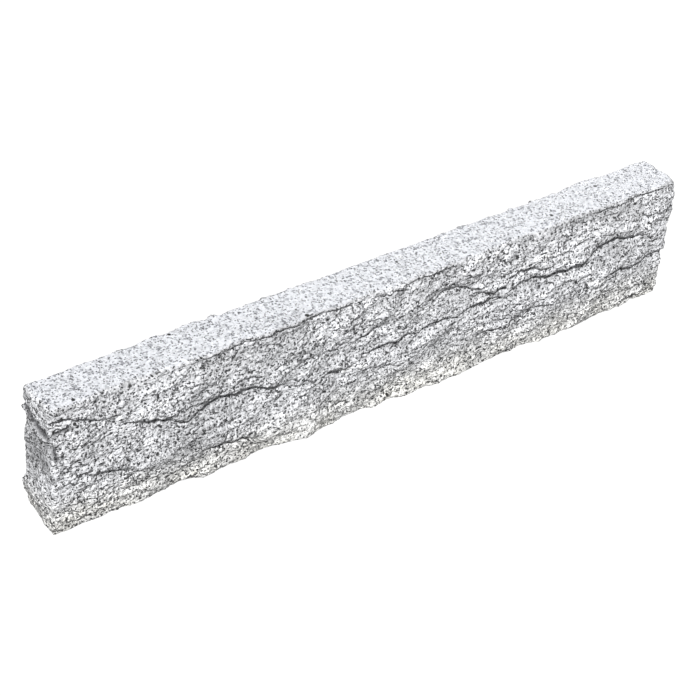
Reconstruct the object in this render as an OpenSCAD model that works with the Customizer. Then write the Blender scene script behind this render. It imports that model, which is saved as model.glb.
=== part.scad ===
// Granite edging stone: one bar with a dressed top, a flat bed and split sides and ends.
// X runs along the stone, Y from its front to its back, Z up from its bed.

/* [Stone] */
// Length of the stone
stone_length = 1000; // [400:10:1500]
// Height from the bed to the dressed top
stone_height = 187; // [120:1:300]
// Thickness at the arrises, before the split sides swell
stone_thickness = 67; // [50:1:150]

/* [Split sides] */
// How far a split side swells out at half height
side_belly = 2; // [0:0.5:8]
// Deepest overhang of the main ledge, which runs along the middle of the front
main_ledge_overhang = 13; // [0:0.5:16]
// Deepest overhang of the ledge under the top
upper_ledge_overhang = 10; // [0:0.5:12]
// Deepest overhang of the ledge above the bed
lower_ledge_overhang = 9; // [0:0.5:12]
// Deepest undercut below the front arris of the top
arris_undercut = 5; // [0:0.5:8]
// Deepest bite broken out of the front arris of the top
arris_bite = 3; // [0:0.5:6]
// How far the front rolls back to its arris where the arris is rounded
arris_roll = 6; // [0:0.5:12]
// Height over which it rolls back
arris_roll_height = 42; // [10:1:60]
// Depth of the deepest scallop knocked out of the front
scallop_depth = 5; // [0:0.5:10]
// How far the front edge of the bed wanders out and in
foot_wander = 9; // [0:0.5:12]
// Height over which the front follows that edge
foot_height = 36; // [10:1:60]
// Deepest overhang of the low ledges on the back
back_ledge_overhang = 7; // [0:0.5:10]
// Height of a ledge's underside
ledge_underside = 4; // [1:0.5:6]
// Height over which a ledge swells out above its lip
ledge_swell = 34; // [10:1:60]
// Height over which the hollow under a ledge runs out
ledge_hollow = 34; // [10:1:80]

/* [Split ends] */
// Deepest overhang of the ledge across the left end
left_ledge_overhang = 12; // [0:0.5:16]
// Height over which the hollow under that ledge runs out
left_ledge_hollow = 70; // [20:1:120]
// Deepest bite broken out of the bed's edge at the left end
left_foot_bite = 8; // [0:0.5:12]
// Height up to which that bite reaches
left_foot_height = 26; // [5:1:40]
// Hollow of the right end at half height
right_hollow = 3; // [0:0.5:10]
// How far the right end leans in towards the bed
right_setback = 4; // [0:0.5:10]

/* [Texture] */
// Length of the broad waves in a split face
wave_length = 85; // [40:1:160]
// Depth of the broad waves
wave_depth = 2.4; // [0:0.1:5]
// Length of the small facets in a split face
facet_length = 24; // [15:1:50]
// Depth of the small facets
facet_depth = 1.7; // [0:0.1:3]
// Length of the hollow chips that cover a split face
chip_length = 46; // [20:1:80]
// Height of those chips
chip_height = 28; // [15:1:60]
// Depth that a chip would have at the full size of its cell
chip_depth = 6; // [0:0.5:10]
// Height beside the top and the bed in which a split side runs out to a straighter edge
edge_calm = 22; // [10:1:50]
// Depth of the unevenness of the dressed top
top_unevenness = 0.8; // [0:0.1:2]
// Width of the worn strip along the top arrises
arris_width = 4; // [2:0.5:8]
// Drop of the top at a worn arris
arris_drop = 0.8; // [0:0.1:3]

/* [Hidden] */

// Steps of the skin along the stone and through it
length_steps = 100;
thickness_steps = 6;
// Rows of the skin in each band from the bed to the top: plain face, underside, plain face and so on
band_steps = [4, 1, 4, 1, 4, 1, 4, 1, 2];
// Stock below the bed, which the flat cut takes off
bed_stock = 3;
cut_overrun = 10;

// Ledge lines of the front: each point as share of the length, of the height and of the overhang
front_lower_shares = [
    [0.000, 0.70, 0.5], [0.010, 0.63, 0.7], [0.020, 0.53, 0.7], [0.030, 0.46, 0.5], [0.045, 0.43, 0.4],
    [0.065, 0.41, 0.8], [0.075, 0.38, 1.0], [0.090, 0.35, 1.0],
    [0.100, 0.33, 0.5], [0.110, 0.28, 0.4], [0.120, 0.23, 0.6], [0.130, 0.21, 0.7], [0.165, 0.20, 0.4],
    [0.185, 0.19, 0.0], [0.205, 0.22, 0.3], [0.215, 0.23, 0.8], [0.240, 0.24, 0.8], [0.250, 0.21, 0.8],
    [0.275, 0.21, 0.7], [0.285, 0.17, 0.6], [0.300, 0.12, 0.2], [0.310, 0.12, 0.0], [0.400, 0.16, 0.0],
    [0.550, 0.20, 0.0], [0.680, 0.22, 0.0], [0.700, 0.28, 0.1], [0.715, 0.32, 0.5], [0.735, 0.36, 0.5],
    [0.750, 0.34, 0.3], [0.780, 0.32, 0.4], [0.800, 0.30, 0.1], [0.860, 0.33, 0.0], [0.880, 0.37, 0.5],
    [0.900, 0.39, 0.8], [0.935, 0.37, 0.8], [0.950, 0.38, 0.8], [0.970, 0.41, 0.9], [1.000, 0.41, 0.9]];
front_main_shares = [
    [0.000, 0.74, 0.0], [0.030, 0.70, 0.0], [0.080, 0.68, 0.0], [0.100, 0.71, 0.3], [0.120, 0.67, 0.4],
    [0.135, 0.65, 0.8], [0.150, 0.63, 1.0], [0.165, 0.59, 0.9], [0.180, 0.54, 0.6], [0.195, 0.54, 0.2],
    [0.210, 0.61, 0.6], [0.235, 0.63, 0.7], [0.250, 0.62, 1.0], [0.275, 0.62, 1.0], [0.290, 0.60, 0.9],
    [0.305, 0.56, 0.8], [0.325, 0.53, 0.6], [0.345, 0.50, 0.2], [0.390, 0.45, 0.1], [0.415, 0.47, 0.6],
    [0.435, 0.45, 0.8], [0.445, 0.45, 0.2], [0.460, 0.50, 0.3], [0.490, 0.53, 0.9], [0.515, 0.55, 0.9],
    [0.530, 0.55, 0.3], [0.550, 0.53, 0.3], [0.565, 0.55, 0.7], [0.590, 0.55, 0.7], [0.605, 0.53, 0.4],
    [0.620, 0.53, 0.4], [0.635, 0.57, 0.7], [0.665, 0.57, 0.8], [0.690, 0.56, 0.1], [0.720, 0.60, 0.4],
    [0.760, 0.60, 0.6], [0.790, 0.59, 0.6], [0.810, 0.58, 0.9], [0.830, 0.60, 1.0], [0.850, 0.63, 1.0],
    [0.870, 0.67, 1.0], [0.890, 0.69, 0.9], [0.905, 0.67, 0.8], [0.920, 0.64, 0.7], [0.940, 0.62, 0.5],
    [0.960, 0.60, 0.1], [1.000, 0.57, 0.0]];
front_upper_shares = [
    [0.000, 0.90, 0.4], [0.015, 0.90, 0.7], [0.030, 0.89, 0.9], [0.045, 0.86, 0.8], [0.058, 0.82, 0.9],
    [0.070, 0.80, 0.8],
    [0.090, 0.80, 0.5], [0.110, 0.79, 0.0], [0.200, 0.76, 0.0], [0.255, 0.73, 0.0], [0.270, 0.72, 0.5],
    [0.285, 0.70, 0.6], [0.295, 0.67, 0.3], [0.310, 0.67, 0.0], [0.350, 0.70, 0.0], [0.430, 0.62, 0.0],
    [0.450, 0.66, 0.3], [0.475, 0.69, 0.4], [0.490, 0.68, 0.3], [0.505, 0.63, 0.0], [0.550, 0.70, 0.0],
    [0.600, 0.78, 0.3], [0.620, 0.75, 0.3], [0.640, 0.71, 0.3], [0.655, 0.66, 0.3], [0.670, 0.63, 0.7],
    [0.685, 0.65, 0.9], [0.695, 0.70, 1.0], [0.705, 0.74, 1.0], [0.730, 0.74, 1.0], [0.735, 0.71, 0.9],
    [0.755, 0.68, 0.8], [0.770, 0.66, 0.2], [0.800, 0.68, 0.0], [0.860, 0.78, 0.0], [0.920, 0.80, 0.3],
    [0.960, 0.78, 0.4], [1.000, 0.76, 0.0]];
// Undercut below the front arris, as share of the length and share of its depth
arris_undercut_shares = [
    [0.00, 0.0], [0.17, 0.1], [0.21, 0.6], [0.24, 0.5], [0.26, 1.0], [0.29, 0.9], [0.31, 0.5],
    [0.35, 0.6], [0.38, 1.0], [0.41, 0.8], [0.44, 0.4], [0.48, 0.7], [0.50, 0.4], [0.54, 0.9],
    [0.58, 0.6], [0.63, 0.1], [0.70, 0.2], [0.76, 0.0], [0.85, 0.2], [0.88, 0.9], [0.92, 0.7],
    [0.95, 1.0], [1.00, 0.3]];
// Bites in the front arris, as share of the length and share of the deepest bite
arris_bite_shares = [
    [0.00, 0.3], [0.01, 0.0], [0.23, 0.0], [0.26, 0.8], [0.28, 1.0], [0.30, 0.3], [0.34, 0.0],
    [0.37, 1.0], [0.40, 0.6], [0.42, 0.0], [0.47, 0.1], [0.49, 0.7], [0.52, 0.0], [0.60, 0.2],
    [0.64, 0.0], [0.85, 0.0], [0.89, 0.9], [0.93, 0.3], [0.97, 0.2], [1.00, 1.0]];
// Where the front arris is rounded, as share of the length and share of the roll
arris_roll_shares = [
    [0.00, 0.5], [0.03, 0.8], [0.08, 1.0], [0.14, 0.9], [0.19, 0.7], [0.22, 0.3], [0.25, 0.0], [0.43, 0.0],
    [0.47, 0.5], [0.50, 0.4], [0.53, 0.0], [0.59, 0.1], [0.62, 0.6], [0.68, 0.7], [0.80, 0.6], [0.85, 0.5],
    [0.88, 0.0], [0.97, 0.1], [1.00, 0.3]];
// The part of the roll by which a rounded arris also drops
roll_drop_share = 0.3;
// Where the front edge of the bed lies, as share of the length and share of its wandering, outwards positive
foot_shares = [
    [0.00, -0.2], [0.03, 0.0], [0.08, -0.3], [0.11, 0.0], [0.14, 0.7], [0.16, 0.1], [0.18, -0.7],
    [0.20, 0.0], [0.21, 0.6], [0.23, 0.2], [0.25, -0.3], [0.28, 0.0], [0.30, -0.7], [0.31, -1.0],
    [0.33, -0.3], [0.35, 0.2], [0.37, 0.7], [0.39, 0.4], [0.42, 0.2], [0.44, -0.3], [0.45, 0.2],
    [0.46, -0.3], [0.48, 0.3], [0.51, 0.0], [0.54, 0.7], [0.56, 0.2], [0.58, 0.7], [0.65, 0.7],
    [0.68, 0.1], [0.70, -0.3], [0.72, 0.0], [0.74, -0.4], [0.76, 0.0], [0.77, 0.6], [0.79, 0.3],
    [0.80, 0.6], [0.82, 0.2], [0.84, 0.4], [0.87, 0.0], [0.89, -0.4], [0.91, 0.0], [0.94, -0.1],
    [0.95, -1.0], [0.96, -0.7], [0.98, -0.3], [1.00, -0.3]];
// Scallops of the front: share of the length; height, half width and half height as shares of the height;
// and share of the depth, which is negative where the rock is left standing
front_scallop_shares = [
    [0.05, 0.60, 0.24, 0.17, 0.4], [0.14, 0.44, 0.16, 0.12, 0.6], [0.11, 0.16, 0.20, 0.15, 0.5],
    [0.19, 0.30, 0.30, 0.17, -0.5], [0.27, 0.88, 0.18, 0.13, 0.7], [0.33, 0.72, 0.28, 0.20, -0.5],
    [0.34, 0.14, 0.45, 0.22, -0.6], [0.39, 0.88, 0.20, 0.14, 0.7], [0.40, 0.60, 0.22, 0.16, 0.4],
    [0.46, 0.60, 0.30, 0.20, 0.7], [0.49, 0.84, 0.20, 0.15, -0.5], [0.46, 0.14, 0.40, 0.22, 0.5],
    [0.54, 0.24, 0.25, 0.16, -0.4], [0.58, 0.64, 0.30, 0.18, 0.7], [0.64, 0.16, 0.30, 0.20, 0.6],
    [0.64, 0.88, 0.28, 0.18, -0.3], [0.70, 0.16, 0.18, 0.13, -0.5], [0.72, 0.42, 0.24, 0.15, -0.4],
    [0.79, 0.13, 0.22, 0.16, 0.6], [0.77, 0.82, 0.34, 0.22, -0.4], [0.88, 0.46, 0.30, 0.16, -0.3],
    [0.90, 0.16, 0.26, 0.16, 0.4], [0.93, 0.88, 0.22, 0.15, 0.7]];
// Ledge lines of the back, read in the same way
back_lower_shares = [
    [0.00, 0.34, 0.2], [0.15, 0.28, 0.5], [0.30, 0.32, 0.9], [0.42, 0.24, 0.4], [0.50, 0.22, 0.1],
    [0.65, 0.25, 0.3], [0.80, 0.29, 0.8], [0.90, 0.25, 0.5], [1.00, 0.23, 0.3]];
back_main_shares = [
    [0.00, 0.82, 0.0], [0.05, 0.72, 0.3], [0.12, 0.58, 0.6], [0.20, 0.47, 0.3], [0.30, 0.50, 0.7],
    [0.40, 0.55, 1.0], [0.50, 0.52, 0.5], [0.60, 0.47, 0.2], [0.70, 0.49, 0.8], [0.85, 0.52, 0.5],
    [1.00, 0.55, 0.1]];
back_upper_shares = [
    [0.00, 0.91, 0.1], [0.10, 0.84, 0.2], [0.25, 0.72, 0.8], [0.35, 0.74, 0.4], [0.50, 0.78, 0.0],
    [0.60, 0.77, 0.2], [0.75, 0.73, 0.6], [0.85, 0.71, 0.9], [0.95, 0.74, 0.5], [1.00, 0.75, 0.4]];
// Overhang of the ledge across the left end, which joins the main ledge lines of the front and the back,
// as share of the thickness and share of the overhang
left_ledge_shares = [[0.0, 0.4], [0.2, 0.9], [0.5, 1.0], [0.8, 0.7], [1.0, 0.3]];
// The bite at the foot of the left end, as share of the thickness and share of its depth
left_foot_shares = [[0.0, 0.1], [0.3, 0.2], [0.5, 0.6], [0.8, 1.0], [1.0, 0.9]];
// The part of the texture that is left at the top arrises and at the edges of the bed
arris_texture_share = 0.2;
bed_texture_share = 0.3;
// The part of an overhang that stands out above its lip, and the rest lies hollow under it
lip_share = 0.4;
left_lip_share = 0.75;
// Where a chip's face lies level with the face of the stone, as share of its depth
chip_level_share = 0.3;
// Seeds of the texture on each face
front_seed = 11;
back_seed = 47;
top_seed = 83;
left_seed = 5;
right_seed = 29;

rows = band_steps * [for (band = band_steps) 1];
half_turn = 180;

function mix(low, high, share) = low + (high - low) * share;
function total(values, count) = count == 0 ? 0 : values[count - 1] + total(values, count - 1);

// Uneven field: random heights on a square lattice, joined by straight facets
function field(across, up, seed) = [for (column = [0 : across + 1]) rands(-1, 1, up + 2, seed + column)];
function cells(size, cell) = ceil(size / cell);
function uneven(field, u, v) =
    let (i = floor(u), j = floor(v), near = field[i], far = field[i + 1])
    mix(mix(near[j], far[j], u - i), mix(near[j + 1], far[j + 1], u - i), v - j);

// Chips: one random middle in each cell of a lattice, and the face is hollow round the nearest middle
function middles(across, up, seed) = [
    for (column = [0 : across + 2])
        let (u = rands(0, 1, up + 3, seed + column), v = rands(0, 1, up + 3, seed + across + column))
        [for (row = [0 : up + 2]) [column + u[row] - 1, row + v[row] - 1]]];
function chipped(middles, u, v) =
    let (
        i = floor(u),
        j = floor(v),
        ways = [for (column = [i : i + 2]) for (row = [j : j + 2]) middles[column][row] - [u, v]])
    min([for (way = ways) way * way]) - chip_level_share;

function split_fields(size, seed) = [
    field(cells(size, wave_length), cells(stone_height + bed_stock, wave_length), seed),
    field(cells(size, facet_length), cells(stone_height + bed_stock, facet_length), seed + seed),
    middles(cells(size, chip_length), cells(stone_height + bed_stock, chip_height), seed)];
function split_texture(fields, along, up) =
    wave_depth * uneven(fields[0], along / wave_length, up / wave_length)
    + facet_depth * uneven(fields[1], along / facet_length, up / facet_length)
    + chip_depth * chipped(fields[2], along / chip_length, up / chip_height);

front_fields = split_fields(stone_length, front_seed);
back_fields = split_fields(stone_length, back_seed);
left_fields = split_fields(stone_thickness, left_seed);
right_fields = split_fields(stone_thickness, right_seed);
top_field = field(cells(stone_length, facet_length), cells(stone_thickness, facet_length), top_seed);

// Ledges of one side from the bed up, each as a table of heights and a table of overhangs
function ledge(shares, overhang) = [
    [for (point = shares) [point[0], point[1] * stone_height]],
    [for (point = shares) [point[0], point[2] * overhang]]];
arris_height = stone_height - arris_width;
function arris_ledge(shares, overhang) = [
    [[0, arris_height], [1, arris_height]],
    [for (point = shares) [point[0], point[1] * overhang]]];
front_ledges = [
    ledge(front_lower_shares, lower_ledge_overhang),
    ledge(front_main_shares, main_ledge_overhang),
    ledge(front_upper_shares, upper_ledge_overhang),
    arris_ledge(arris_undercut_shares, arris_undercut)];
back_ledges = [
    ledge(back_lower_shares, back_ledge_overhang),
    ledge(back_main_shares, back_ledge_overhang),
    ledge(back_upper_shares, back_ledge_overhang),
    arris_ledge([[0, 0], [1, 0]], 0)];

function lip_height(ledges, n, s) = lookup(s, ledges[n][0]);
function root_height(ledges, n, s) =
    let (lip = lip_height(ledges, n, s), below = n == 0 ? 0 : lip_height(ledges, n - 1, s))
    lip - min(ledge_underside, (lip - below) / 2);

// Heights that bound the bands of rows at one place along a side
function band_heights(ledges, s) = concat(
    [-bed_stock],
    [for (n = [0 : len(ledges) - 1]) each [root_height(ledges, n, s), lip_height(ledges, n, s)]],
    [stone_height]);
function band_of(row, band = 0) =
    row <= total(band_steps, band + 1) ? band : band_of(row, band + 1);
function row_height(ledges, s, row) =
    let (band = band_of(row), heights = band_heights(ledges, s))
    mix(heights[band], heights[band + 1], (row - total(band_steps, band)) / band_steps[band]);

// How far one ledge moves the side outwards at a height, swelling above its lip and hollow below its root
function ledge_offset(ledges, n, s, up) =
    let (
        lip = lip_height(ledges, n, s),
        root = root_height(ledges, n, s),
        overhang = lookup(s, ledges[n][1]))
    up >= lip ? overhang * lip_share * max(0, 1 - (up - lip) / ledge_swell)
    : -overhang * (1 - lip_share) * max(0, 1 - max(0, root - up) / ledge_hollow);
// The part of the texture at a height, which runs out towards the top and the bed
function clamp(value) = max(0, min(1, value));
function calm(up) =
    mix(arris_texture_share, 1, clamp((stone_height - up) / edge_calm))
    * mix(bed_texture_share, 1, clamp(up / edge_calm));
function side_offset(ledges, fields, s, up) =
    side_belly * sin(half_turn * clamp(up / stone_height))
    + calm(up) * split_texture(fields, s * stone_length, up + bed_stock)
    + [for (n = [0 : len(ledges) - 1]) ledge_offset(ledges, n, s, up)] * [for (n = ledges) 1];

// A scallop is a round hollow with a crisp rim
function scallop_offset(scallop, s, up) =
    let (
        dx = (s - scallop[0]) * stone_length / stone_height / scallop[2],
        dz = (up / stone_height - scallop[1]) / scallop[3])
    -scallop_depth * scallop[4] * max(0, 1 - dx * dx - dz * dz);
function scallops_offset(s, up) =
    let (offsets = [for (scallop = front_scallop_shares) scallop_offset(scallop, s, up)])
    total(offsets, len(offsets));
// A rounded arris leans back in a curve that steepens towards the top
function roll_offset(s, up) =
    -arris_roll * lookup(s, arris_roll_shares) * pow(clamp(1 - (stone_height - up) / arris_roll_height), 2);
// The front follows the wandering edge of the bed, and leaves it in a curve
function foot_offset(s, up) =
    foot_wander * lookup(s, foot_shares) * pow(clamp(1 - up / foot_height), 2);
function front_offset(s, up) =
    side_offset(front_ledges, front_fields, s, up)
    + scallops_offset(s, up)
    + roll_offset(s, up)
    + foot_offset(s, up)
    - (up >= arris_height ? arris_bite * lookup(s, arris_bite_shares) : 0);

// The dressed top drops a little along its worn arrises
function top_offset(s, t) =
    top_unevenness * uneven(top_field, s * stone_length / facet_length, t * stone_thickness / facet_length)
    - (t == 0 || t == 1 || s == 0 || s == 1 ? arris_drop : 0)
    - (t == 0 ? arris_roll * roll_drop_share * lookup(s, arris_roll_shares) : 0);

// The ledge across the left end leans back from its lip to the top
function left_offset(t, up) =
    let (
        lip = mix(lip_height(front_ledges, 1, 0), lip_height(back_ledges, 1, 0), t),
        root = mix(root_height(front_ledges, 1, 0), root_height(back_ledges, 1, 0), t),
        overhang = left_ledge_overhang * lookup(t, left_ledge_shares))
    calm(up) * split_texture(left_fields, t * stone_thickness, up + bed_stock)
    - left_foot_bite * lookup(t, left_foot_shares) * clamp(1 - up / left_foot_height)
    + (up >= lip ? overhang * left_lip_share * (stone_height - up) / (stone_height - lip)
       : -overhang * (1 - left_lip_share) * max(0, 1 - max(0, root - up) / left_ledge_hollow));
function right_offset(t, up) =
    calm(up) * split_texture(right_fields, t * stone_thickness, up + bed_stock)
    - right_hollow * sin(half_turn * clamp(up / stone_height))
    - right_setback * (1 - clamp(up / stone_height));

// Steps through the stone are close at the two arrises
function through(step) =
    step == 0 ? 0 : step == thickness_steps ? 1
    : mix(arris_width, stone_thickness - arris_width, (step - 1) / (thickness_steps - 2)) / stone_thickness;

// A point of the skin from its step along, its step through and its row
function skin_point(along, step, row) =
    let (
        s = along / length_steps,
        t = through(step),
        front_up = row_height(front_ledges, s, row),
        back_up = row_height(back_ledges, s, row),
        up = mix(front_up, back_up, t))
    [mix(-stone_length / 2 - left_offset(t, up), stone_length / 2 + right_offset(t, up), s),
     mix(-stone_thickness / 2 - front_offset(s, front_up),
         stone_thickness / 2 + side_offset(back_ledges, back_fields, s, back_up), t),
     up + (row == rows ? top_offset(s, t) : 0)];

// The six patches of the skin, each a grid of points over two of the three counts
function patch(count_u, count_v, at) = [for (u = [0 : count_u]) for (v = [0 : count_v]) at(u, v)];
function patch_faces(count_u, count_v, first, turned) = [
    for (u = [0 : count_u - 1]) for (v = [0 : count_v - 1])
        let (a = first + u * (count_v + 1) + v, b = a + 1, c = a + count_v + 1, d = c + 1)
        each turned ? [[a, b, d], [a, d, c]] : [[a, d, b], [a, c, d]]];
side_count = (length_steps + 1) * (rows + 1);
flat_count = (length_steps + 1) * (thickness_steps + 1);
end_count = (thickness_steps + 1) * (rows + 1);
skin_points = concat(
    patch(length_steps, rows, function (u, v) skin_point(u, 0, v)),
    patch(length_steps, rows, function (u, v) skin_point(u, thickness_steps, v)),
    patch(length_steps, thickness_steps, function (u, v) skin_point(u, v, 0)),
    patch(length_steps, thickness_steps, function (u, v) skin_point(u, v, rows)),
    patch(thickness_steps, rows, function (u, v) skin_point(0, u, v)),
    patch(thickness_steps, rows, function (u, v) skin_point(length_steps, u, v)));
skin_faces = concat(
    patch_faces(length_steps, rows, 0, true),
    patch_faces(length_steps, rows, side_count, false),
    patch_faces(length_steps, thickness_steps, 2 * side_count, false),
    patch_faces(length_steps, thickness_steps, 2 * side_count + flat_count, true),
    patch_faces(thickness_steps, rows, 2 * (side_count + flat_count), false),
    patch_faces(thickness_steps, rows, 2 * (side_count + flat_count) + end_count, true));

// Middle of the stone's reach along one axis, so that it stands centred on the origin
function middle(axis) =
    let (reach = [for (point = skin_points) if (point[2] >= 0) point[axis]])
    (min(reach) + max(reach)) / 2;

module edging_stone() {
    color("gainsboro")
    translate([-middle(0), -middle(1), 0])
    difference() {
        polyhedron(skin_points, skin_faces);
        translate([-stone_length, -stone_length, -bed_stock - cut_overrun])
            cube([2 * stone_length, 2 * stone_length, bed_stock + cut_overrun]);
    }
}

edging_stone();
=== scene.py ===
"""A granite edging stone with a dressed top and split sides, on a plain white floor."""

import math

import bpy
from mathutils import Matrix, Vector


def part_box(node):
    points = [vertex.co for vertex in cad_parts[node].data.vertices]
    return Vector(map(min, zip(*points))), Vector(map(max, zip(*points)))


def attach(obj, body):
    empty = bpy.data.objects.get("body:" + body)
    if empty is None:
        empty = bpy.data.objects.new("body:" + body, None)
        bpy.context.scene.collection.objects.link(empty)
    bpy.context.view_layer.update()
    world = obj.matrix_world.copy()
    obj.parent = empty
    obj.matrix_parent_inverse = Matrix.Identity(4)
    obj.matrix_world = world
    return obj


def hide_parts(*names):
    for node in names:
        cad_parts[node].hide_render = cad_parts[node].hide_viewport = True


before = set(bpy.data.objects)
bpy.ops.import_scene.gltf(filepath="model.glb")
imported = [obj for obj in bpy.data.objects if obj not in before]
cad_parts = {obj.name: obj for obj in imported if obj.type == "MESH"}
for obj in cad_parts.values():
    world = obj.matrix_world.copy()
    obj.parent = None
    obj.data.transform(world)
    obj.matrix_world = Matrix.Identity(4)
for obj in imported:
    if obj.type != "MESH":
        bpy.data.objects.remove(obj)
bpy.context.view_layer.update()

MM = 0.001
STONE = "edging_stone"

# The photograph's camera: where it stands round the stone, its tilt, and its lens in pixels of the picture.
PICTURE_WIDTH = 696
SENSOR_WIDTH = 36.0
LENS_PIXELS = 2160.9
CAMERA_AZIMUTH = -40.4
CAMERA_ELEVATION = 35.66
CAMERA_ROLL = 5.29
CAMERA_DISTANCE = 2.815
CAMERA_AIM = (0.0, 0.0, 0.09)
CAMERA_SHIFT = (-23.1 / PICTURE_WIDTH, -11.97 / PICTURE_WIDTH)

# The lamps: the side that each shines from, its strength, and how far its light spreads, in degrees.
LAMPS = [
    ("key", (-1.3, -1.45, 2.0), 4.75, 5.0),
    ("fill", (1.0, 1.0, 0.2), 1.8, 15.0),
]
# How bright the surround is for the stone, and how far the floor reaches.
SURROUND = 0.06
FLOOR_REACH = 6.0
# The floor's paint, which keeps the shadow, and the glow that makes it white to the eye.
FLOOR_PAINT = (0.2, 0.2, 0.2, 1.0)
FLOOR_GLOW = 0.84
WHITE = (1.0, 1.0, 1.0, 1.0)

# Mesh cells of the finished stone: their height, and how far the solid is squeezed while they are laid,
# so that they end up longer than they are high, as the ledges are.
SKIN_CELL = 2.03 * MM
SKIN_SQUEEZE = 0.6
# Corners of the solid's mesh that are nearer than this are one.
WELD_REACH = 0.01 * MM

# The sizes of the split, of the dressing on the top and of the chips along the arrises.
SPLIT_SIZES = [
    ("Scallop Size", 15 * MM),
    ("Scallop Depth", 1.6 * MM),
    ("Hackle Size", 17 * MM),
    ("Hackle Depth", 3.6 * MM),
    ("Shelf Pitch", 34 * MM),
    ("Shelf Depth", 5.0 * MM),
    ("Rib Pitch", 12 * MM),
    ("Rib Depth", 3.0 * MM),
    ("Bite Depth", 5.0 * MM),
    ("Grit Size", 6 * MM),
    ("Grit Depth", 2.0 * MM),
    ("Dressing Size", 6 * MM),
    ("Dressing Depth", 0.5 * MM),
    ("Chip Size", 11 * MM),
    ("Chip Depth", 4.0 * MM),
    ("Cleft Depth", 4.0 * MM),
]
SPLIT_SEED = 3.0
# Steps of the split between its deepest and its highest tread.
HACKLE_STEPS = 7.0
# How far a ledge may stray up and down along the stone, in ledges.
LEDGE_STRAY = 4.0
# The underside of a ledge, as a share of the way up to the next one.
SHELF_UNDERSIDE_SHARE = 0.1
RIB_UNDERSIDE_SHARE = 0.2
STEP_UNDERSIDE_SHARE = 0.4
# The split's forms are drawn out along the stone.
DRAWN_OUT = (0.6, 1.0, 1.0)
# How much of the split's depth is left on the ends.
END_SHARE = 0.38
# The heights between which points come free of the bed.
BED_EDGE = (0.5 * MM, 5 * MM)
# The dressed top: how steeply its points face up, and how far below the highest point it begins and is whole.
TOP_FACING = (0.78, 0.95)
TOP_BAND = (12 * MM, 6 * MM)
# How far from an end the split begins to get plainer, and is plainest.
END_BAND = (35 * MM, 12 * MM)
# The bite under a ledge: how steeply its points face down, the heights where it begins and is whole, and the
# distance between its deeper places.
BITE_FACING = (-0.1, -0.4)
BITE_HEIGHTS = (14 * MM, 28 * MM)
BITE_SPACING = 45 * MM
# How far the blurred stone falls inside the real one where an arris begins, and where it is sharp.
ARRIS_DEPTHS = (0.5 * MM, 2.2 * MM)
# A point that has risen or sunk this far stands as high, or lies as low, as the finish reckons with.
STANDING_REACH = 3 * MM
# Rounds in which the mesh is evened out: for the facets, the way out of the stone, the arrises and the gap.
FACET_ROUNDS = 1
WAY_OUT_ROUNDS = 4
ARRIS_ROUNDS = 8
GAP_ROUNDS = 150
# Where the lower ledge has broken away: the middle of the gap and its reach.
LEDGE_GAP = ((-0.325, -0.036, 0.04), 60 * MM)

# How the split's forms, the grains, the edges of patches and the cracks wander at random: the number of bends
# in a metre, how finely they are broken up, and how far they reach.
SPLIT_WANDER = (28.0, 3.0, 22 * MM)
GRAIN_WANDER = (450.0, 2.0, 2.4 * MM)
PATCH_WANDER = (1 / (40 * MM), 3.0, 50 * MM)
ROUTE_WANDER = (1 / (12 * MM), 3.0, 8 * MM)

# The hairline crack in the foot of the front, and the cleft that runs across the left end and down the front.
# Of each, the way that its side faces, how far out that side begins, its width, and the points on its route.
FRONT = (0.0, -1.0, 0.0)
LEFT_END = (-1.0, 0.0, 0.0)
CRACK = (
    FRONT,
    0.0,
    2.2 * MM,
    [
        (-0.264, 0.0, 0.039),
        (-0.250, 0.0, 0.041),
        (-0.222, 0.0, 0.036),
        (-0.205, 0.0, 0.022),
        (-0.185, 0.0, 0.015),
    ],
)
CLEFT = (
    LEFT_END,
    0.45,
    11 * MM,
    [
        (0.0, 0.045, 0.164),
        (0.0, 0.010, 0.156),
        (0.0, -0.012, 0.153),
        (0.0, -0.024, 0.150),
    ],
)
CLEFT_FOOT = (
    FRONT,
    0.022,
    6 * MM,
    [
        (-0.503, 0.0, 0.155),
        (-0.496, 0.0, 0.137),
        (-0.488, 0.0, 0.111),
    ],
)
# How dark the cleft's painted shade is, where the crack is 1.
CLEFT_SHADE = 0.9

# The granite's grains: their sizes, the share of mica where it is thin and where it is thick, and how much
# more of it the top has.
GRAIN_SIZE = 2.8 * MM
MICA_SIZE = 2.5 * MM
CRYSTAL_SIZE = 4.5 * MM
PIT_SPACING = 34 * MM
MICA_THIN = 0.20
MICA_THICK = 0.25
MICA_MORE_ON_TOP = 0.06
# The fine relief of a split face: the height of its steps, how far one runs on, and the size of its bumps.
STEP_SIZE = 5.2 * MM
STEP_LENGTH = 11 * MM
ROUGHNESS_SIZE = 3.6 * MM
# The granite's colours, from grey quartz to white feldspar: the share of the grains where each begins.
ROCK_COLOURS = [
    (0.0, (0.30, 0.303, 0.315)),
    (0.13, (0.48, 0.485, 0.495)),
    (0.26, (0.76, 0.76, 0.77)),
    (0.45, (0.90, 0.90, 0.905)),
    (1.0, (0.95, 0.95, 0.955)),
]
FELDSPAR = (0.95, 0.95, 0.955, 1.0)
MICA = (0.05, 0.05, 0.055, 1.0)
PIT_SHADE_AND_CRYSTAL_BLACK = (0.02, 0.02, 0.02, 1.0)
CRACK_GREY_AND_CLEFT_SHADE = (0.08, 0.08, 0.085, 1.0)
CREAM = (1.0, 0.975, 0.88, 1.0)
# What the colours are multiplied by on the split and on the dressed top; the top's bluer, darker tint is
# painted light.
SPLIT_TINT = (0.972, 0.98, 1.0, 1.0)
DRESSED_PAINTED_LIGHT_TINT = (0.835, 0.85, 0.885, 1.0)
# The shine of the stone and of its mica.
STONE_ROUGHNESS = 0.78
MICA_ROUGHNESS = 0.45
STONE_SPECULAR = 0.35
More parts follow.
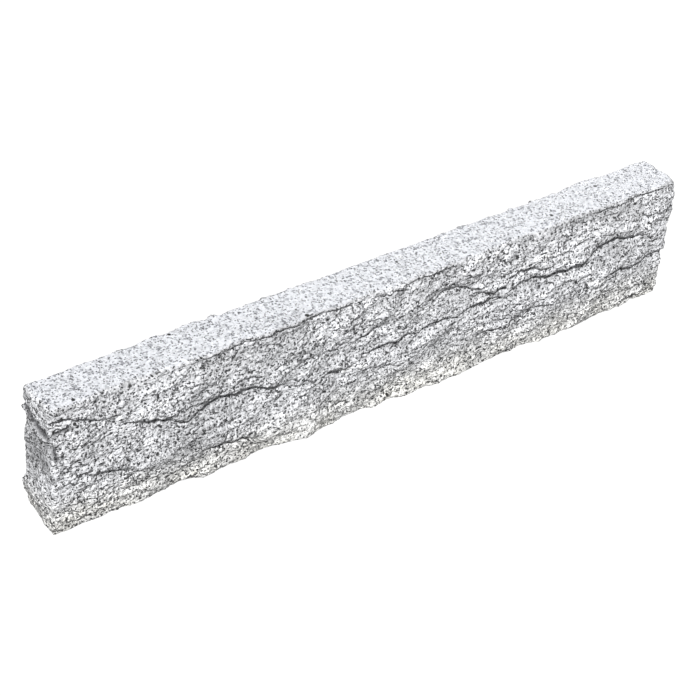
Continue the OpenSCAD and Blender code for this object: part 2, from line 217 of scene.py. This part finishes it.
# How high broken crystals stand, and how far each grain's face is tilted, on the split and on plain faces.
CRYSTAL_HEIGHT = 2.0 * MM
SPLIT_TILT = 1.15
PLAIN_TILT = 0.7

# Where one large black crystal shows, and how far its edge is from its middle.
BLACK_CRYSTAL_AT = (-0.129, -0.026, 0.187)
BLACK_CRYSTAL_EDGE = (2.4 * MM, 3.4 * MM)
# Patches of the split that look duskier than the rest: the middle and the reach of each, and the shade there.
DUSKY_AND_SHADED_PATCHES = [
    # The first patch is painted shade on the left end, below its ledge.
    ((-0.50, 0.005, 0.11), 50 * MM, 0.55),
    ((-0.29, -0.036, 0.09), 80 * MM, 0.80),
    ((-0.36, -0.036, 0.015), 55 * MM, 0.88),
    ((-0.15, -0.036, 0.165), 45 * MM, 0.84),
    ((0.15, -0.036, 0.02), 50 * MM, 0.84),
    ((0.40, -0.036, 0.12), 75 * MM, 0.88),
]
# One patch broke smooth and pale: its middle, its reach, and how smooth it is.
SMOOTH_PATCH = ((-0.15, -0.036, 0.005), 75 * MM, 0.5)
# Within this share of its reach a patch is at its full strength.
PATCH_CORE_SHARE = 0.35
# Pale and dull clouds on the split: their size, and the least and the most light that they give back.
CLOUD_SIZE = 40 * MM
CLOUD_SHADES = (0.82, 1.06)
# The painted shade in the hollows of the split, and the painted highlight on its high places.
PAINTED_HOLLOW_SHADE_AND_HIGHLIGHT = (0.8, 1.06)
# Up to the first height the split is palest, and from the second it isn't paler any more.
PALE_HEIGHTS = (35 * MM, 115 * MM)
PALE_SHADE = 1.1
# The height up to which fresh white grains are thicker, and their shares at the bed and above that height.
FRESH_HEIGHT = 90 * MM
FRESH_SHARES = (0.6, 0.55)
# How high the cream tint climbs.
CREAM_HEIGHT = 70 * MM

# Further out than any point of the stone.
FAR = 10.0


def make(tree, kind, inputs=None, **settings):
    """Adds a node. Settings are its properties, inputs its sockets, each a value or another node's output."""
    made = tree.nodes.new(kind)
    for name, value in settings.items():
        setattr(made, name, value)
    for key, value in (inputs or {}).items():
        if isinstance(value, bpy.types.NodeSocket):
            tree.links.new(value, made.inputs[key])
        else:
            made.inputs[key].default_value = value
    return made


def sums(tree, operation, *values, clamp=False):
    """One step of arithmetic on numbers."""
    inputs = dict(enumerate(values))
    return make(tree, "ShaderNodeMath", inputs, operation=operation, use_clamp=clamp).outputs[0]


def vectors(tree, operation, *values):
    """One step of arithmetic on vectors."""
    made = make(tree, "ShaderNodeVectorMath", dict(enumerate(values)), operation=operation)
    return made.outputs["Value" if operation in ("DOT_PRODUCT", "DISTANCE") else "Vector"]


def scaled(tree, vector, factor):
    """A vector or a colour times a number."""
    inputs = {"Vector": vector, "Scale": factor}
    return make(tree, "ShaderNodeVectorMath", inputs, operation="SCALE").outputs["Vector"]


def axis(tree, vector, name):
    """The X, Y or Z of a vector."""
    return make(tree, "ShaderNodeSeparateXYZ", {0: vector}).outputs[name]


def per(tree, size):
    """How many of a size go into a metre."""
    return sums(tree, "DIVIDE", 1.0, size)


def swing(tree, value, level, depth):
    """A value's rise above a level, times a depth."""
    return sums(tree, "MULTIPLY", sums(tree, "SUBTRACT", value, level), depth)


def ease(tree, value, low, high, to_low=0.0, to_high=1.0):
    """A smooth change from to_low to to_high while value goes from low to high."""
    return make(
        tree,
        "ShaderNodeMapRange",
        {"Value": value, "From Min": low, "From Max": high, "To Min": to_low, "To Max": to_high},
        interpolation_type="SMOOTHSTEP",
    ).outputs["Result"]


def noise(tree, place, scale, detail=2.0, roughness=0.5, output="Fac"):
    """Smooth random values, from 0 to 1, at a place."""
    return make(
        tree,
        "ShaderNodeTexNoise",
        {"Vector": place, "Scale": scale, "Detail": detail, "Roughness": roughness},
        noise_dimensions="3D",
    ).outputs[output]


def stray(tree, place, scale, detail, reach):
    """Places that wander at random, each way by up to about half the reach."""
    drift = vectors(tree, "SUBTRACT", noise(tree, place, scale, detail, 0.6, "Color"), (0.5, 0.5, 0.5))
    return vectors(tree, "ADD", place, scaled(tree, drift, reach))


def grains(tree, place, scale):
    """Cells like the grains of a rock, with the distance to a grain's middle and a colour for each grain."""
    inputs = {"Vector": place, "Scale": scale}
    return make(tree, "ShaderNodeTexVoronoi", inputs, voronoi_dimensions="3D").outputs


def ledge_profile(tree, height, scale, along, underside):
    """Ledges one above another. Each stands out at its foot over a short underside, and leans back above."""
    wander = sums(tree, "MULTIPLY", along, LEDGE_STRAY)
    climb = sums(tree, "ADD", sums(tree, "MULTIPLY", height, scale), wander)
    part = sums(tree, "FRACT", climb)
    return sums(tree, "MULTIPLY", sums(tree, "SUBTRACT", 1.0, part), ease(tree, part, 0.0, underside))


def along_route(tree, place, facing, begins, width, route):
    """Is 1 along a route on one side of the stone, and falls to 0 within half the width."""
    flat = tuple(1.0 - abs(part) for part in facing)
    across = vectors(tree, "MULTIPLY", stray(tree, place, *ROUTE_WANDER), flat)
    near = 0.0
    for start, stop in zip(route, route[1:]):
        run = Vector(stop) - Vector(start)
        from_start = vectors(tree, "SUBTRACT", across, start)
        share = vectors(tree, "DOT_PRODUCT", from_start, run / run.length_squared)
        reached = scaled(tree, run, sums(tree, "MULTIPLY", share, 1.0, clamp=True))
        aside = vectors(tree, "DISTANCE", from_start, reached)
        near = sums(tree, "MAXIMUM", near, ease(tree, aside, 0.25 * width, 0.5 * width, 1.0, 0.0))
    on_side = sums(tree, "GREATER_THAN", vectors(tree, "DOT_PRODUCT", place, facing), begins)
    return sums(tree, "MULTIPLY", near, on_side)


def blurred(tree, vector, rounds, weight=1.0):
    """A vector evened out over the mesh, one cell further each round."""
    inputs = {"Value": vector, "Iterations": rounds, "Weight": weight}
    return make(tree, "GeometryNodeBlurAttribute", inputs, data_type="FLOAT_VECTOR").outputs["Value"]


def moved(tree, stone, **where):
    """The stone with its points at a new Position, or shifted by an Offset."""
    return make(tree, "GeometryNodeSetPosition", {"Geometry": stone, **where}).outputs["Geometry"]


def stored(tree, stone, name, value):
    """The stone with a number kept on each of its points, for the material to read."""
    return make(
        tree,
        "GeometryNodeStoreNamedAttribute",
        {"Geometry": stone, "Name": name, "Value": value},
        data_type="FLOAT",
        domain="POINT",
    ).outputs["Geometry"]


def split_inputs(tree):
    """The tree's own sockets: the stone, sizes, a seed and the finish go in, and a rough stone comes out."""
    face = tree.interface
    face.new_socket("Stone", in_out="INPUT", socket_type="NodeSocketGeometry")
    for name, value in SPLIT_SIZES:
        socket = face.new_socket(name, in_out="INPUT", socket_type="NodeSocketFloat")
        socket.default_value = value
        socket.subtype = "DISTANCE"
    face.new_socket("Seed", in_out="INPUT", socket_type="NodeSocketFloat").default_value = SPLIT_SEED
    face.new_socket("Granite", in_out="INPUT", socket_type="NodeSocketMaterial")
    face.new_socket("Stone", in_out="OUTPUT", socket_type="NodeSocketGeometry")
    return make(tree, "NodeGroupInput").outputs


def split_relief(tree, given, seeded, height):
    """How far the split stands out or lies in: scallops, steps, short ledges and grit."""
    drawn = vectors(tree, "MULTIPLY", stray(tree, seeded, *SPLIT_WANDER), DRAWN_OUT)

    # Scallops: round hollows that meet in sharp ridges.
    middle = grains(tree, drawn, per(tree, given["Scallop Size"]))["Distance"]
    scallop = swing(tree, sums(tree, "MULTIPLY", middle, middle), 0.3, given["Scallop Depth"])

    # Hackle: the split runs in steps, each a flat tread and a short riser.
    run = noise(tree, drawn, per(tree, given["Hackle Size"]), 2.0, 0.55)
    run = sums(tree, "MULTIPLY", run, HACKLE_STEPS)
    riser = ease(tree, sums(tree, "FRACT", run), 0.6, 0.95)
    climbed = sums(tree, "DIVIDE", sums(tree, "ADD", sums(tree, "FLOOR", run), riser), HACKLE_STEPS)
    hackle = swing(tree, climbed, 0.5, sums(tree, "MULTIPLY", given["Hackle Depth"], 2.0))

    # Shelves and ribs: short broken ledges.
    def ledges(name, underside):
        scale = per(tree, given[name + " Pitch"])
        along = noise(tree, drawn, sums(tree, "MULTIPLY", scale, 0.6), 3.0, 0.6)
        broken = ease(tree, noise(tree, drawn, sums(tree, "MULTIPLY", scale, 0.5), 2.0, 0.5), 0.45, 0.62)
        profile = swing(tree, ledge_profile(tree, height, scale, along, underside), 0.4, broken)
        return sums(tree, "MULTIPLY", profile, given[name + " Depth"])

    ledge = sums(tree, "ADD", ledges("Shelf", SHELF_UNDERSIDE_SHARE), ledges("Rib", RIB_UNDERSIDE_SHARE))

    # Grit: fine roughness over all of it.
    bumps = noise(tree, seeded, per(tree, given["Grit Size"]), 2.0, 0.6)
    grit = swing(tree, bumps, 0.5, sums(tree, "MULTIPLY", given["Grit Depth"], 2.0))
    return sums(tree, "ADD", sums(tree, "ADD", scallop, hackle), sums(tree, "ADD", ledge, grit))


def split_granite_tree():
    """Geometry Nodes that roughen the plain solid: split sides and ends, a dressed top and a flat bed."""
    tree = bpy.data.node_groups.new("split_granite", "GeometryNodeTree")
    given = split_inputs(tree)
    place = make(tree, "GeometryNodeInputPosition").outputs[0]
    height = axis(tree, place, "Z")
    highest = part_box(STONE)[1]

    # Draw the skin out to the stone's real length.
    drawn_out = vectors(tree, "MULTIPLY", place, (1 / SKIN_SQUEEZE, 1.0, 1.0))
    stone = moved(tree, given["Stone"], Position=drawn_out)

    # Near the bed nothing moves up or down.
    off_bed = ease(tree, height, *BED_EDGE)
    bed_kept = make(tree, "ShaderNodeCombineXYZ", {"X": 1.0, "Y": 1.0, "Z": off_bed}).outputs[0]

    def evened_out(stone, rounds, weight=1.0):
        shift = vectors(tree, "SUBTRACT", blurred(tree, place, rounds, weight), place)
        return moved(tree, stone, Offset=vectors(tree, "MULTIPLY", shift, bed_kept))

    # Soften the straight facets of the solid, and take the lower ledge down where it has broken away.
    stone = evened_out(stone, FACET_ROUNDS)
    gap_middle, gap_reach = LEDGE_GAP
    gone = ease(tree, vectors(tree, "DISTANCE", place, gap_middle), 0.5 * gap_reach, gap_reach, 1.0, 0.0)
    stone = evened_out(stone, GAP_ROUNDS, gone)

    # The way out of the stone at each point, and whether the point lies on the dressed top.
    normal = make(tree, "GeometryNodeInputNormal").outputs[0]
    way_out = vectors(tree, "NORMALIZE", blurred(tree, normal, WAY_OUT_ROUNDS))
    upward = axis(tree, way_out, "Z")
    is_high = ease(tree, height, *(highest.z - below for below in TOP_BAND))
    on_top = sums(tree, "MULTIPLY", ease(tree, upward, *TOP_FACING), is_high)
    on_split = sums(tree, "SUBTRACT", 1.0, on_top)

    # The seed moves the places at which the random fields are read.
    seeded = vectors(tree, "ADD", place, make(tree, "ShaderNodeCombineXYZ", {"X": given["Seed"]}).outputs[0])
    split = split_relief(tree, given, seeded, height)

    # The ends broke across the stone's grain, and are plainer.
    endward = sums(tree, "ABSOLUTE", axis(tree, place, "X"))
    plainer = ease(tree, endward, *(highest.x - short for short in END_BAND), 1.0, END_SHARE)
    split = sums(tree, "MULTIPLY", split, plainer)

    # The split bites in deeper under the ledges of the solid, in some places more than in others.
    under = sums(tree, "MULTIPLY", ease(tree, upward, *BITE_FACING), ease(tree, height, *BITE_HEIGHTS))
    uneven = ease(tree, noise(tree, seeded, 1 / BITE_SPACING), 0.35, 0.65, 0.5, 1.0)
    under = sums(tree, "MULTIPLY", under, uneven)
    split = sums(tree, "SUBTRACT", split, sums(tree, "MULTIPLY", under, given["Bite Depth"]))

    # Dressed top: shallow pick marks close together.
    pick = grains(tree, seeded, per(tree, given["Dressing Size"]))["Distance"]
    dressing = swing(tree, pick, 0.45, given["Dressing Depth"])

    # Chips: flakes are lost along the arrises, where the blurred stone falls inside the real one.
    sunk = vectors(tree, "SUBTRACT", blurred(tree, place, ARRIS_ROUNDS), place)
    inside = sums(tree, "MULTIPLY", vectors(tree, "DOT_PRODUCT", sunk, way_out), -1.0)
    on_arris = ease(tree, inside, *ARRIS_DEPTHS)
    flake = ease(tree, noise(tree, seeded, per(tree, given["Chip Size"])), 0.46, 0.58)
    chip = sums(tree, "MULTIPLY", sums(tree, "MULTIPLY", on_arris, flake), given["Chip Depth"])

    # The cleft is kept on the points before they move, so that its painted shade stays in its groove.
    cleft = sums(tree, "MAXIMUM", along_route(tree, place, *CLEFT), along_route(tree, place, *CLEFT_FOOT))
    stone = stored(tree, stone, "cleft", cleft)

    split = sums(tree, "MULTIPLY", split, on_split)
    dressing = sums(tree, "MULTIPLY", dressing, on_top)
    rise = sums(tree, "SUBTRACT", sums(tree, "ADD", split, dressing), chip)
    rise = sums(tree, "SUBTRACT", rise, sums(tree, "MULTIPLY", cleft, given["Cleft Depth"]))
    stone = moved(tree, stone, Offset=vectors(tree, "MULTIPLY", scaled(tree, way_out, rise), bed_kept))
    # Nothing reaches below the bed.
    stone = moved(tree, stone, Position=vectors(tree, "MAXIMUM", place, (-FAR, -FAR, 0.0)))

    stone = make(tree, "GeometryNodeSetShadeSmooth", {"Geometry": stone, "Shade Smooth": True}).outputs[0]
    stone = stored(tree, stone, "dressed", on_top)
    stone = stored(tree, stone, "standing", ease(tree, rise, -STANDING_REACH, STANDING_REACH))
    stone = make(tree, "GeometryNodeRealizeInstances", {"Geometry": stone}).outputs[0]
    finished = make(tree, "GeometryNodeSetMaterial", {"Geometry": stone, "Material": given["Granite"]})
    make(tree, "NodeGroupOutput", {"Stone": finished.outputs[0]})
    return tree


def emptied(owner):
    """The node tree of a material or a world, with nothing in it."""
    owner.use_nodes = True
    owner.node_tree.nodes.clear()
    return owner.node_tree


def ramp(tree, value, stops):
    """Colours along a line, from (place, colour) pairs."""
    made = make(tree, "ShaderNodeValToRGB", {"Fac": value})
    line = made.color_ramp
    while len(line.elements) < len(stops):
        line.elements.new(0.5)
    for stop, (at, colour) in zip(line.elements, stops):
        stop.position = at
        stop.color = (*colour, 1.0)
    return made.outputs["Color"]


def mixed(tree, share, first, second, **settings):
    """The first colour with a share of the second."""
    inputs = {"Factor": share, "A": first, "B": second}
    return make(tree, "ShaderNodeMix", inputs, data_type="RGBA", **settings).outputs["Result"]


def channel(tree, colour, number):
    """One of the three numbers of a colour."""
    return make(tree, "ShaderNodeSeparateColor", {0: colour}).outputs[number]


def kept(tree, name):
    """A number that the stone keeps on its points."""
    return make(tree, "ShaderNodeAttribute", attribute_name=name).outputs["Fac"]


def undone(tree, value, plain):
    """A value that goes to 1 where the stone is plain."""
    return sums(tree, "ADD", value, sums(tree, "MULTIPLY", plain, sums(tree, "SUBTRACT", 1.0, value)))


def speckle(tree, place, body, warped, dressed, height):
    """White feldspar and grey quartz with flakes of black mica. Gives the colour, and where the mica is."""
    rock = ramp(tree, channel(tree, body, 0), ROCK_COLOURS)
    # A fresh split is whiter than the dressed top, most of all near the bed.
    on_split = ease(tree, dressed, 0.0, 1.0, 1.0, 0.0)
    fresh = sums(tree, "MULTIPLY", ease(tree, height, 0.0, FRESH_HEIGHT, *FRESH_SHARES), on_split)
    rock = mixed(tree, fresh, rock, FELDSPAR)

    # Mica is a little thicker in some places than in others, and on the top.
    flakes = grains(tree, warped, 1 / MICA_SIZE)
    crowd = ease(tree, noise(tree, place, 45.0), 0.3, 0.7, MICA_THIN, MICA_THICK)
    crowd = sums(tree, "ADD", crowd, sums(tree, "MULTIPLY", dressed, MICA_MORE_ON_TOP))
    is_mica = sums(tree, "LESS_THAN", channel(tree, flakes["Color"], 1), crowd)
    mica = sums(tree, "MULTIPLY", is_mica, ease(tree, flakes["Distance"], 0.40, 0.56, 1.0, 0.0))
    return mixed(tree, mica, rock, MICA), mica


def crystal_relief(tree, place, warped, height):
    """The fine relief of a split face, which is rough with broken crystals and runs in small steps."""
    drawn = vectors(tree, "MULTIPLY", place, DRAWN_OUT)
    along = noise(tree, drawn, 1 / STEP_LENGTH, 3.0, 0.6)
    step = ledge_profile(tree, height, 1 / STEP_SIZE, along, STEP_UNDERSIDE_SHARE)
    broken = noise(tree, place, 1 / ROUGHNESS_SIZE, 2.0, 0.6)
    crystal = sums(tree, "MULTIPLY", grains(tree, warped, 1 / CRYSTAL_SIZE)["Distance"], -0.9)
    return sums(tree, "ADD", sums(tree, "ADD", sums(tree, "MULTIPLY", step, 0.5), broken), crystal)


def granite_finish():
    """Light grey granite, dusky and pale in patches, with painted shade in its crevices, painted light and
    shade on its relief, and a faint cream tint low down.
    """
    material = bpy.data.materials.new("granite")
    tree = emptied(material)
    place = make(tree, "ShaderNodeTexCoord").outputs["Object"]
    height = axis(tree, place, "Z")
    dressed = kept(tree, "dressed")
    warped = stray(tree, place, *GRAIN_WANDER)

    # A patch has a soft edge, which wanders.
    strayed = stray(tree, place, *PATCH_WANDER)

    def patch(middle, reach, inside, outside):
        far = vectors(tree, "DISTANCE", strayed, middle)
        return ease(tree, far, PATCH_CORE_SHARE * reach, reach, inside, outside)

    plain = sums(tree, "MAXIMUM", dressed, patch(*SMOOTH_PATCH, 0.0))

    body = grains(tree, warped, 1 / GRAIN_SIZE)["Color"]
    colour, mica = speckle(tree, place, body, warped, dressed, height)

    # Painted shade: the colour darkens where the fine relief lies low, in the crevices between a split face's
    # crystals.
    relief = crystal_relief(tree, place, warped, height)
    painted_crevice_shade = ease(tree, relief, -0.15, 0.0, 0.08, 1.0)
    colour = scaled(tree, colour, undone(tree, painted_crevice_shade, plain))

    # The split faces are paler in some places than in others, and dusky in patches; the patch on the left end
    # is painted shade.
    lengthened = vectors(tree, "MULTIPLY", place, (0.5, 1.0, 1.0))
    tone = ease(tree, noise(tree, lengthened, 1 / CLOUD_SIZE), 0.3, 0.7, *CLOUD_SHADES)
    colour = scaled(tree, colour, undone(tree, tone, plain))
    for middle, reach, shade in DUSKY_AND_SHADED_PATCHES:
        colour = scaled(tree, colour, patch(middle, reach, shade, 1.0))

    # Low on the stone the split is paler.
    colour = scaled(tree, colour, ease(tree, height, *PALE_HEIGHTS, PALE_SHADE, 1.0))

    # Painted shade and highlight: the split's hollows are darkened and its high places lightened, as by the
    # light that reaches them.
    painted_hollow_shade_and_highlight = ease(tree, kept(tree, "standing"), 0.1, 0.9, *PAINTED_HOLLOW_SHADE_AND_HIGHLIGHT)
    colour = scaled(tree, colour, undone(tree, painted_hollow_shade_and_highlight, plain))

    # Painted light and shade: the dressed top is tinted bluer for the sky's light on it, and darker against
    # the lamp's stronger light there.
    painted_light_tint = mixed(tree, dressed, SPLIT_TINT, DRESSED_PAINTED_LIGHT_TINT)
    colour = mixed(tree, 1.0, colour, painted_light_tint, blend_type="MULTIPLY", clamp_result=True)

    # Painted shade: a few small, deep pits are painted black for the shade inside them.
    pits = grains(tree, place, 1 / PIT_SPACING)
    some = sums(tree, "LESS_THAN", channel(tree, pits["Color"], 0), 0.6)
    painted_pit_shade = sums(tree, "MULTIPLY", some, ease(tree, pits["Distance"], 0.06, 0.085, 1.0, 0.0))
    colour = mixed(tree, painted_pit_shade, colour, PIT_SHADE_AND_CRYSTAL_BLACK)

    # One black crystal shows on the top, beside the front arris.
    far = vectors(tree, "DISTANCE", place, BLACK_CRYSTAL_AT)
    colour = mixed(tree, ease(tree, far, *BLACK_CRYSTAL_EDGE, 1.0, 0.0), colour, PIT_SHADE_AND_CRYSTAL_BLACK)

    # The hairline crack is dark, and the cleft is painted dark for the shade in it below the left end's
    # ledge.
    cleft = sums(tree, "MULTIPLY", kept(tree, "cleft"), CLEFT_SHADE)
    dark = sums(tree, "MAXIMUM", along_route(tree, place, *CRACK), cleft)
    colour = mixed(tree, dark, colour, CRACK_GREY_AND_CLEFT_SHADE)

    # Low on the stone the colour turns cream, in clouds.
    low = ease(tree, height, 0.0, CREAM_HEIGHT, 1.0, 0.0)
    cloud = ease(tree, noise(tree, place, 22.0, 3.0), 0.3, 0.7, 0.4, 0.7)
    colour = mixed(tree, sums(tree, "MULTIPLY", low, cloud), colour, CREAM, blend_type="MULTIPLY")

    # Each grain's face has a tilt of its own, on top of the fine relief.
    strength = ease(tree, plain, 0.0, 1.0, 1.0, 0.2)
    bump = make(tree, "ShaderNodeBump", {"Strength": strength, "Distance": CRYSTAL_HEIGHT, "Height": relief})
    tilt = vectors(tree, "SUBTRACT", body, (0.5, 0.5, 0.5))
    tilt = scaled(tree, tilt, ease(tree, plain, 0.0, 1.0, SPLIT_TILT, PLAIN_TILT))
    facet = vectors(tree, "NORMALIZE", vectors(tree, "ADD", bump.outputs["Normal"], tilt))

    roughness = ease(tree, mica, 0.0, 1.0, STONE_ROUGHNESS, MICA_ROUGHNESS)
    shader = make(
        tree,
        "ShaderNodeBsdfPrincipled",
        {"Base Color": colour, "Roughness": roughness, "Normal": facet, "Specular IOR Level": STONE_SPECULAR},
    )
    make(tree, "ShaderNodeOutputMaterial", {"Surface": shader.outputs[0]})
    return material


def put(name, data):
    """A new object in the scene."""
    made = bpy.data.objects.new(name, data)
    bpy.context.scene.collection.objects.link(made)
    return made


def rough_stone(granite):
    """The finished stone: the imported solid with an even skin, roughened by the tree."""
    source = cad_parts[STONE].data.copy()
    source.transform(Matrix.Diagonal((SKIN_SQUEEZE, 1.0, 1.0, 1.0)))
    piece = put("granite_stone", source)
    weld = piece.modifiers.new("weld", "WELD")
    weld.merge_threshold = WELD_REACH
    skin = piece.modifiers.new("skin", "REMESH")
    skin.mode = "VOXEL"
    skin.voxel_size = SKIN_CELL
    skin.adaptivity = 0.0
    relief = piece.modifiers.new("split_granite", "NODES")
    tree = split_granite_tree()
    relief.node_group = tree
    for item in tree.interface.items_tree:
        if item.in_out == "INPUT" and item.name == "Granite":
            relief[item.identifier] = granite
    bpy.context.view_layer.update()
    evaluated = piece.evaluated_get(bpy.context.evaluated_depsgraph_get())
    mesh = bpy.data.meshes.new_from_object(evaluated)
    piece.modifiers.clear()
    piece.data = mesh
    mesh.name = "granite_stone"
    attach(piece, "root")
    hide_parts(STONE)


def seen(tree):
    """Is 1 where the eye sees a thing, also in gloss or through glass, and 0 where it only gives light."""
    path = make(tree, "ShaderNodeLightPath").outputs
    straight = sums(tree, "MAXIMUM", path["Is Camera Ray"], path["Is Glossy Ray"])
    return sums(tree, "MAXIMUM", straight, path["Is Transmission Ray"])


def white_floor():
    """A plain white floor that keeps a soft shadow of the stone."""
    mesh = bpy.data.meshes.new("floor")
    corners = [(x * FLOOR_REACH, y * FLOOR_REACH, 0.0) for x, y in ((-1, -1), (1, -1), (1, 1), (-1, 1))]
    mesh.from_pydata(corners, [], [(0, 1, 2, 3)])
    floor = put("floor", mesh)
    material = bpy.data.materials.new("white_floor")
    tree = emptied(material)
    paint = make(tree, "ShaderNodeBsdfDiffuse", {"Color": FLOOR_PAINT}).outputs[0]
    strength = sums(tree, "MULTIPLY", seen(tree), FLOOR_GLOW)
    glow = make(tree, "ShaderNodeEmission", {"Color": WHITE, "Strength": strength}).outputs[0]
    both = make(tree, "ShaderNodeAddShader", {0: paint, 1: glow}).outputs[0]
    make(tree, "ShaderNodeOutputMaterial", {"Surface": both})
    mesh.materials.append(material)


def studio_light():
    """A key lamp above the camera's side, a low fill from behind, and a dim surround that looks white."""
    world = bpy.data.worlds.new("surround")
    bpy.context.scene.world = world
    tree = emptied(world)
    strength = ease(tree, seen(tree), 0.0, 1.0, SURROUND, 1.0)
    light = make(tree, "ShaderNodeBackground", {"Color": WHITE, "Strength": strength}).outputs[0]
    make(tree, "ShaderNodeOutputWorld", {"Surface": light})

    for name, side, energy, spread in LAMPS:
        data = bpy.data.lights.new(name, "SUN")
        data.angle = math.radians(spread)
        data.energy = energy
        lamp = put(name, data)
        lamp.location = side
        lamp.rotation_euler = (-lamp.location).to_track_quat("-Z", "Y").to_euler()


def photo_camera():
    """The camera stands and looks as the photograph's did."""
    turn, lift, roll = (math.radians(a) for a in (CAMERA_AZIMUTH, CAMERA_ELEVATION, CAMERA_ROLL))
    back = Vector((math.sin(turn) * math.cos(lift), -math.cos(turn) * math.cos(lift), math.sin(lift)))
    right = Vector((math.cos(turn), math.sin(turn), 0.0))
    up = back.cross(right)
    rolled_right = math.cos(roll) * right + math.sin(roll) * up
    rolled_up = math.cos(roll) * up - math.sin(roll) * right
    data = bpy.data.cameras.new("camera")
    data.sensor_width = SENSOR_WIDTH
    data.lens = LENS_PIXELS / PICTURE_WIDTH * SENSOR_WIDTH
    data.shift_x, data.shift_y = CAMERA_SHIFT
    camera = put("camera", data)
    stand = Matrix((rolled_right, rolled_up, back)).transposed().to_4x4()
    stand.translation = Vector(CAMERA_AIM) + back * CAMERA_DISTANCE
    camera.matrix_world = stand
    bpy.context.scene.camera = camera


photo_camera()
white_floor()
studio_light()
rough_stone(granite_finish())
bpy.context.scene.view_settings.view_transform = "Standard"
